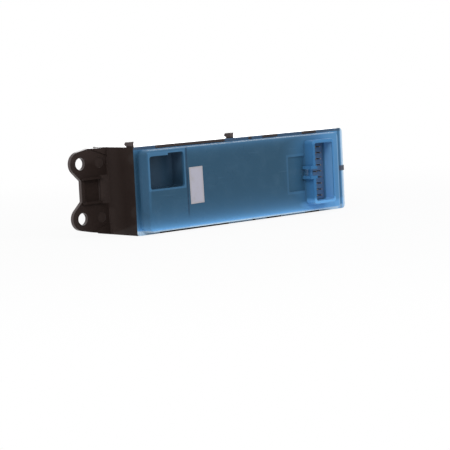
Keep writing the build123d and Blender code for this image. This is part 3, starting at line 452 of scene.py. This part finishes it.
def cover_plastic():
    """Clear blue plastic, drawn opaque, with painted light where light creeps in at its rims,
    painted highlights on its edges and painted shade in its creases and pocket; the dark inside
    shows in its middle.
    """
    material, tree, shader = new_material("blue_cover_plastic")
    _, (x, y, z) = own_place(tree)
    along = millimetres(tree, x, cover_low.x)
    up = millimetres(tree, z, cover_low.z)
    down = calculate(tree, "SUBTRACT", (cover_high.z - cover_low.z) / MM, up)
    out = product(tree, millimetres(tree, y, flange_y), -1.0)
    on_plate = band(tree, out, PLATE_RISE - 0.8, PLATE_RISE + 0.8, 0.3)
    above_plate = ramp(tree, out, PLATE_RISE + 0.2, PLATE_RISE + 1.0)
    on_shroud = product(tree, above_plate, ramp(tree, along, 105.0, 108.0))

    # the plate: a dark middle, with painted light from the rims
    above_rim = calculate(tree, "SUBTRACT", up, 2.2)
    low_glow = calculate(
        tree,
        "ADD",
        product(tree, fade(tree, above_rim, 4.6), 0.65),
        product(tree, fade(tree, above_rim, 1.2), 0.8),
    )
    high_glow = product(tree, fade(tree, calculate(tree, "SUBTRACT", down, 1.8), 1.8), 0.26)
    end_glow = product(tree, ramp(tree, along, 94.0, 141.0), 0.56)
    near_glow = product(tree, ramp(tree, along, 4.0, 2.2), ramp(tree, out, 0.6, 1.6), 0.1)
    corner_glow = product(tree, ramp(tree, along, 102.0, 120.0), ramp(tree, up, 9.5, 5.0), 0.95)
    glow = largest(tree, low_glow, high_glow, end_glow, near_glow, corner_glow)
    colour = mix_colour(tree, glow, COVER_CORE, COVER_GLOW)

    # the panel beside the shroud is thinner, and darker for it, with a faint painted highlight
    # round its frame
    panel = product(
        tree,
        on_plate,
        band(tree, along, PANEL_ALONG[0], PANEL_ALONG[1], 0.4),
        band(tree, up, PANEL_UP[0], PANEL_UP[1], 0.4),
    )
    panel_frame_highlight = product(
        tree,
        on_plate,
        band(tree, along, PANEL_ALONG[0] - 1.4, PANEL_ALONG[1], 0.3),
        band(tree, up, PANEL_UP[0] - 1.4, PANEL_UP[1] + 1.4, 0.3),
    )
    colour = mix_colour(tree, product(tree, panel_frame_highlight, 0.07), colour, COVER_GLOW)
    colour = mix_colour(tree, product(tree, panel, 0.75), colour, COVER_CORE)

    # the shroud: full blue, with most painted light at its lower end and in its cavity, and a
    # painted highlight on the cavity's wall
    rising = product(tree, ramp(tree, out, PLATE_RISE, SHROUD_RISE - 1.0), 0.5)
    rising = calculate(tree, "ADD", rising, 0.4)
    colour = mix_colour(tree, product(tree, on_shroud, rising), colour, COVER_SHROUD)
    low_end = ramp(tree, up, SHROUD_UP[0] + 3.6, SHROUD_UP[0] + 0.6)
    high_end = ramp(tree, up, SHROUD_UP[1] - 2.0, SHROUD_UP[1] - 0.6)
    outer_wall = product(
        tree,
        ramp(tree, along, SHROUD_FOOT + 4.4, SHROUD_FOOT + 3.8),
        ramp(tree, out, SHROUD_RISE, SHROUD_RISE - 0.8),
    )
    outer_wall = product(tree, outer_wall, rising)
    right_rim = ramp(tree, along, CAVITY_END - 0.3, CAVITY_END + 0.3)
    cavity_wall = product(
        tree,
        band(tree, along, CAVITY_END - 1.2, CAVITY_END + 0.4, 0.2),
        ramp(tree, out, SHROUD_RISE - 0.1, SHROUD_RISE - 0.6),
    )
    shroud_glow = largest(
        tree,
        low_end,
        product(tree, high_end, 0.22),
        product(tree, outer_wall, 0.26),
        product(tree, right_rim, 0.32),
        cavity_wall,
    )
    colour = mix_colour(tree, product(tree, on_shroud, shroud_glow), colour, COVER_GLOW)
    colour = mix_colour(tree, product(tree, on_shroud, cavity_wall, 0.1), colour, COVER_RIM_HIGHLIGHT)

    # painted shade in the creases: the foot of the box beside the ears, and the step across the
    # plate
    box_foot_shade = product(tree, band(tree, out, 0.0, 2.6, 0.6), ramp(tree, along, 4.0, 2.0), 0.15)
    colour = mix_colour(tree, box_foot_shade, colour, COVER_CREASE_SHADE)
    # painted shade along the step across the plate
    step = product(tree, band(tree, along, STEP_ALONG + 0.3, STEP_ALONG + 1.4, 0.3), on_plate)
    step = product(tree, step, ramp(tree, up, 6.0, 12.0), 0.6)
    colour = mix_colour(tree, step, colour, COVER_CREASE_SHADE)

    # the pocket: painted shade inside with a painted lit corner, and a painted highlight on its
    # border
    pocket_border_highlight = product(
        tree,
        on_plate,
        band(tree, along, POCKET_ALONG[0] - 0.9, POCKET_ALONG[1] + 0.9, 0.2),
        band(tree, up, POCKET_UP[0] - 0.9, POCKET_UP[1] + 0.9, 0.2),
    )
    colour = mix_colour(tree, product(tree, pocket_border_highlight, 0.16), colour, COVER_GLOW)
    in_pocket = product(
        tree,
        band(tree, along, POCKET_ALONG[0] - 0.4, POCKET_ALONG[1] + 0.4, 0.1),
        band(tree, up, POCKET_UP[0] - 0.4, POCKET_UP[1] + 0.4, 0.1),
        ramp(tree, out, PLATE_RISE - 0.2, PLATE_RISE - 2.2),
    )
    lit_corner = product(tree, ramp(tree, along, 21.0, 25.5), ramp(tree, up, 26.0, 40.0), 0.8)
    pocket_shade_and_lit_corner = mix_colour(tree, lit_corner, COVER_POCKET_SHADE, COVER_LIT_CORNER)
    colour = mix_colour(tree, in_pocket, colour, pocket_shade_and_lit_corner)

    # the flange: dark above the black case, and along the case's far wall
    on_flange = ramp(tree, out, 0.8, 0.4)
    strip = product(tree, ramp(tree, down, 1.7, 1.3), on_flange)
    colour = mix_colour(tree, product(tree, strip, 0.85), colour, COVER_OVER_BLACK)
    over_wall = product(tree, band(tree, along, FLANGE_END - 4.0, FLANGE_END - 2.2, 0.4), on_flange)
    colour = mix_colour(tree, product(tree, over_wall, 0.6), colour, COVER_CORE)

    # painted highlights on the edges that catch the light
    at_box_top = ramp(tree, out, PLATE_RISE - 1.2, PLATE_RISE - 0.5)
    top_edge = product(tree, at_box_top, band(tree, down, 1.4, 2.1, 0.2), 0.2)
    near_end = ramp(tree, along, FLANGE_END - 7.0, FLANGE_END - 4.5)
    low_edge = product(
        tree,
        ramp(tree, up, 2.9, 1.9),
        calculate(tree, "SUBTRACT", 1.0, product(tree, near_end, 0.6)),
    )
    right_edge = product(
        tree, at_box_top, band(tree, along, BOX_END - 1.0, BOX_END + 0.6, 0.3), 0.24
    )
    outer_edge = product(tree, ramp(tree, along, FLANGE_END - 2.0, FLANGE_END - 0.8), 0.9)
    edge_highlights = largest(tree, top_edge, low_edge, right_edge, outer_edge)
    colour = mix_colour(tree, edge_highlights, colour, COVER_RIM_HIGHLIGHT)

    # the black tongue shows through the flange in front of it
    tongue = product(
        tree,
        on_flange,
        ramp(tree, along, FLANGE_END - 3.6, FLANGE_END - 3.0),
        band(tree, up, TONGUE_UP[0], TONGUE_UP[1], 0.4),
    )
    colour = mix_colour(tree, product(tree, tongue, 0.92), colour, COVER_OVER_TONGUE)

    texture = use_group(tree, grain_group, Grain_per_metre=1500.0, Drift_per_metre=25.0)
    scuffs = use_group(tree, scuff_group, Amount=0.10)
    colour = mix_colour(tree, scuffs["Dust"], colour, COVER_DUST)
    colour = mix_colour(tree, scuffs["Rubs"], colour, COVER_RUB)
    tree.links.new(colour, shader.inputs["Base Color"])
    set_roughness(tree, shader, texture["Drift"], 0.26, 0.38)
    shader.inputs["IOR"].default_value = 1.22
    add_bump(tree, shader, texture["Grain"], 0.15, 0.00002)
    return material


# ---- label ----
LABEL_PAPER = paint(178, 176, 188)
LABEL_YELLOWED = paint(171, 167, 170)
LABEL_AGED = 0.8


def plain_label():
    """Matt white sticker with nothing on it, a little yellowed towards its edges."""
    material, tree, shader = new_material("plain_label_paper")
    _, (x, _, z) = own_place(tree)
    low, high = (Vector(corner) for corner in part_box("label"))
    texture = use_group(tree, grain_group, Grain_per_metre=4000.0, Drift_per_metre=260.0)
    width, height = (high.x - low.x) / MM, (high.z - low.z) / MM
    middle = product(
        tree,
        band(tree, millimetres(tree, x, low.x), LABEL_AGED, width - LABEL_AGED, LABEL_AGED),
        band(tree, millimetres(tree, z, low.z), LABEL_AGED, height - LABEL_AGED, LABEL_AGED),
    )
    aged = largest(
        tree, calculate(tree, "SUBTRACT", 1.0, middle), ramp(tree, texture["Drift"], 0.45, 0.8)
    )
    tree.links.new(mix_colour(tree, aged, LABEL_PAPER, LABEL_YELLOWED), shader.inputs["Base Color"])
    shader.inputs["IOR"].default_value = 1.2
    set_roughness(tree, shader, texture["Drift"], 0.7, 0.85)
    add_bump(tree, shader, texture["Grain"], 0.3, 0.00001)
    return material


# ---- the smaller parts ----
insert_slate = moulded_plastic(
    "slate_insert_plastic",
    paint(80, 108, 142),
    paint(96, 122, 150),
    rough=(0.45, 0.6),
    wear=0.15,
    ior=1.3,
)
knob_black = moulded_plastic(
    "black_knob_plastic", paint(40, 40, 42), paint(70, 70, 72), rough=(0.45, 0.6), depth=0.00003
)
frame_grey = moulded_plastic("frame_acetal", paint(173, 171, 163), paint(188, 186, 179), wear=0.2)
slider_white = moulded_plastic(
    "slider_acetal", paint(214, 214, 210), paint(203, 201, 195), wear=0.2
)
relay_black = moulded_plastic(
    "relay_case", paint(37, 37, 39), paint(78, 75, 74), rough=(0.2, 0.3), wear=0.1
)
chip_black = moulded_plastic("chip_epoxy", paint(32, 32, 32), paint(63, 63, 63), rough=(0.6, 0.7))
board_green = moulded_plastic(
    "board_laminate",
    paint(28, 82, 53),
    paint(63, 108, 79),
    rough=(0.25, 0.35),
    grain=5000.0,
    wear=0.15,
)
pin_bronze = rolled_metal(
    "terminal_bronze", paint(150, 140, 130), paint(112, 104, 98), rough=(0.4, 0.55)
)
copper = rolled_metal("contact_copper", paint(231, 184, 137), paint(191, 144, 101))
zinc = rolled_metal("zinc_plate", paint(206, 208, 212), paint(173, 173, 179), rough=(0.28, 0.45))
spring_wire = rolled_metal("spring_wire", paint(197, 197, 200), paint(160, 160, 165))
can_metal = rolled_metal(
    "capacitor_can", paint(225, 226, 229), paint(203, 205, 208), rough=(0.2, 0.3)
)
lamp_amber = clear_plastic("lamp_lens", (0.95, 0.80, 0.45, 1), 0.6)
guide_clear = clear_plastic("light_guide_acrylic", (0.90, 0.95, 0.97, 1))

finishes = {
    "housing": case_plastic(),
    "back_cover": cover_plastic(),
    "label": plain_label(),
    "connector_insert": insert_slate,
    "terminals": pin_bronze,
    "circuit_board": board_green,
    "fixed_contacts": copper,
    "slider_frame": frame_grey,
    "board_screws": zinc,
    "relay": relay_black,
    "control_chip": chip_black,
    "capacitor": can_metal,
    "lamps": lamp_amber,
    "light_guides": guide_clear,
    "window_lock_button": knob_black,
}
finishes_by_ending = {
    "_rocker": knob_black,
    "_slider": slider_white,
    "_contact": copper,
    "_spring": spring_wire,
}
for name, node in nodes.items():
    if name in finishes:
        finish = finishes[name]
    else:
        finish = next(made for ending, made in finishes_by_ending.items() if name.endswith(ending))
    if not node.material_slots:
        node.data.materials.append(finish)
    for slot in node.material_slots:
        slot.material = finish

# ---------------------------------------------------------------- springs

COIL_STEPS = 40
WIRE_SIDES = 10
SLIDER_SPRING_WIRE = 0.00045
SLIDER_SPRING_TURNS = 7
BUTTON_SPRING_WIRE = 0.0007
BUTTON_SPRING_TURNS = 6
X_AXIS, Y_AXIS = 0, 1
ROCKER_SWITCHES = (
    "door_lock",
    "driver_window",
    "passenger_window",
    "rear_left_window",
    "rear_right_window",
)


def compression_spring(node, axis, wire, turns):
    """Round-wire coil in the space of its solid, with its first and last turn closed flat.

    Returns the piece, its middle and its length along the axis."""
    low, high = (Vector(corner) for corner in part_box(node))
    forward, aside, up = (Vector(row) for row in Matrix.Identity(3))
    if axis == Y_AXIS:
        forward, aside = aside, forward
    length = (high - low)[axis] - wire
    radius = (high.z - low.z - wire) / 2
    start = (low + high) / 2 - forward * length / 2
    coil = bmesh.new()
    rings = []
    for step in range(turns * COIL_STEPS + 1):
        turn = step / COIL_STEPS
        if turn < 1:
            climb = wire * turn
        elif turn > turns - 1:
            climb = length - wire * (turns - turn)
        else:
            climb = wire + (length - 2 * wire) * (turn - 1) / (turns - 2)
        outward = aside * math.cos(math.tau * turn) + up * math.sin(math.tau * turn)
        centre = start + forward * climb + outward * radius
        ring = []
        for side in range(WIRE_SIDES):
            angle = math.tau * side / WIRE_SIDES
            rim = (outward * math.cos(angle) + forward * math.sin(angle)) * wire / 2
            ring.append(coil.verts.new(centre + rim))
        rings.append(ring)
    for ring, following in zip(rings, rings[1:]):
        for side in range(WIRE_SIDES):
            across = (side + 1) % WIRE_SIDES
            face = coil.faces.new((ring[side], ring[across], following[across], following[side]))
            face.smooth = True
    coil.faces.new(rings[0])
    coil.faces.new(rings[-1])
    bmesh.ops.recalc_face_normals(coil, faces=coil.faces)
    mesh = bpy.data.meshes.new(f"{node}_coil")
    coil.to_mesh(mesh)
    coil.free()
    piece = bpy.data.objects.new(f"{node}_coil", mesh)
    scene.collection.objects.link(piece)
    mesh.materials.append(spring_wire)
    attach(piece, "case")
    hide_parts(node)
    return piece, (low + high) / 2, (high - low)[axis]


# a coil for each slider's spring, in its own copy of the mesh
for switch in ROCKER_SWITCHES:
    piece, middle, length = compression_spring(
        f"{switch}_spring", X_AXIS, SLIDER_SPRING_WIRE, SLIDER_SPRING_TURNS
    )
    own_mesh(piece)

# a coil for the button's spring, in its own copy of the mesh
piece, middle, length = compression_spring(
    "window_lock_spring", Y_AXIS, BUTTON_SPRING_WIRE, BUTTON_SPRING_TURNS
)
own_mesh(piece)

# ---------------------------------------------------------------- studio

DAYLIGHT = 0.55
DAYLIGHT_TINT = (0.95, 0.97, 1.0, 1)
WHITE = (1, 1, 1, 1)
FLOOR_PALE = (0.85, 0.85, 0.85, 1)
FLOOR_SIZE = 12.0
FLOOR_GAP = 0.0002
WHITE_NEAR = 0.92
SHADOW_REACH = (0.12, 0.45)


def seen_directly(tree):
    """1 for the camera and for what mirrors or lets through, 0 for light that falls on things."""
    path = tree.nodes.new("ShaderNodeLightPath").outputs
    return largest(tree, path["Is Camera Ray"], path["Is Glossy Ray"], path["Is Transmission Ray"])


def build_world():
    """Soft, even daylight on the switch, and plain white behind it."""
    world = bpy.data.worlds.new("studio_world")
    scene.world = world
    world.use_nodes = True
    tree = world.node_tree
    soft = tree.nodes["Background"]
    soft.inputs["Color"].default_value = DAYLIGHT_TINT
    soft.inputs["Strength"].default_value = DAYLIGHT
    white = tree.nodes.new("ShaderNodeBackground")
    white.inputs["Color"].default_value = WHITE
    mix = tree.nodes.new("ShaderNodeMixShader")
    tree.links.new(seen_directly(tree), mix.inputs[0])
    tree.links.new(soft.outputs[0], mix.inputs[1])
    tree.links.new(white.outputs[0], mix.inputs[2])
    tree.links.new(mix.outputs[0], tree.nodes["World Output"].inputs[0])


def build_floor():
    """A wide pale floor that keeps a soft shadow under the switch and is white further out."""
    bpy.ops.mesh.primitive_plane_add(size=FLOOR_SIZE, location=(0, 0, cad_low[2] - FLOOR_GAP))
    floor = bpy.context.active_object
    floor.name = "studio_floor"
    material, tree, shader = new_material("studio_floor_white")
    shader.inputs["Base Color"].default_value = FLOOR_PALE
    shader.inputs["Roughness"].default_value = 0.9
    shader.inputs["Specular IOR Level"].default_value = 0.0
    glow = tree.nodes.new("ShaderNodeEmission")
    place, _ = own_place(tree)
    distance = tree.nodes.new("ShaderNodeVectorMath")
    distance.operation = "LENGTH"
    tree.links.new(place, distance.inputs[0])
    far = ramp(tree, distance.outputs["Value"], *SHADOW_REACH)
    share = calculate(tree, "ADD", product(tree, far, 1 - WHITE_NEAR), WHITE_NEAR)
    mix = tree.nodes.new("ShaderNodeMixShader")
    tree.links.new(product(tree, seen_directly(tree), share), mix.inputs[0])
    tree.links.new(shader.outputs[0], mix.inputs[1])
    tree.links.new(glow.outputs[0], mix.inputs[2])
    tree.links.new(mix.outputs[0], tree.nodes["Material Output"].inputs["Surface"])
    floor.data.materials.append(material)


def softbox(name, place, width, height, power, colour=(1, 1, 1)):
    """A rectangular soft lamp turned to the middle of the switch."""
    data = bpy.data.lights.new(name, "AREA")
    data.shape = "RECTANGLE"
    data.size = width
    data.size_y = height
    data.energy = power
    data.color = colour
    lamp = bpy.data.objects.new(name, data)
    lamp.location = place
    middle = (Vector(cad_low) + Vector(cad_high)) / 2
    lamp.rotation_euler = (middle - Vector(place)).to_track_quat("-Z", "Y").to_euler()
    scene.collection.objects.link(lamp)


build_world()
build_floor()
softbox("softbox_left", (-1.2, -1.0, 1.3), 1.0, 1.0, 13.0, (1.0, 0.99, 0.97))
softbox("softbox_front", (0.5, -1.6, 0.9), 1.2, 1.2, 9.0)
softbox("softbox_behind", (1.05, 1.15, 0.26), 1.6, 0.5, 5.0, (0.98, 0.99, 1.0))
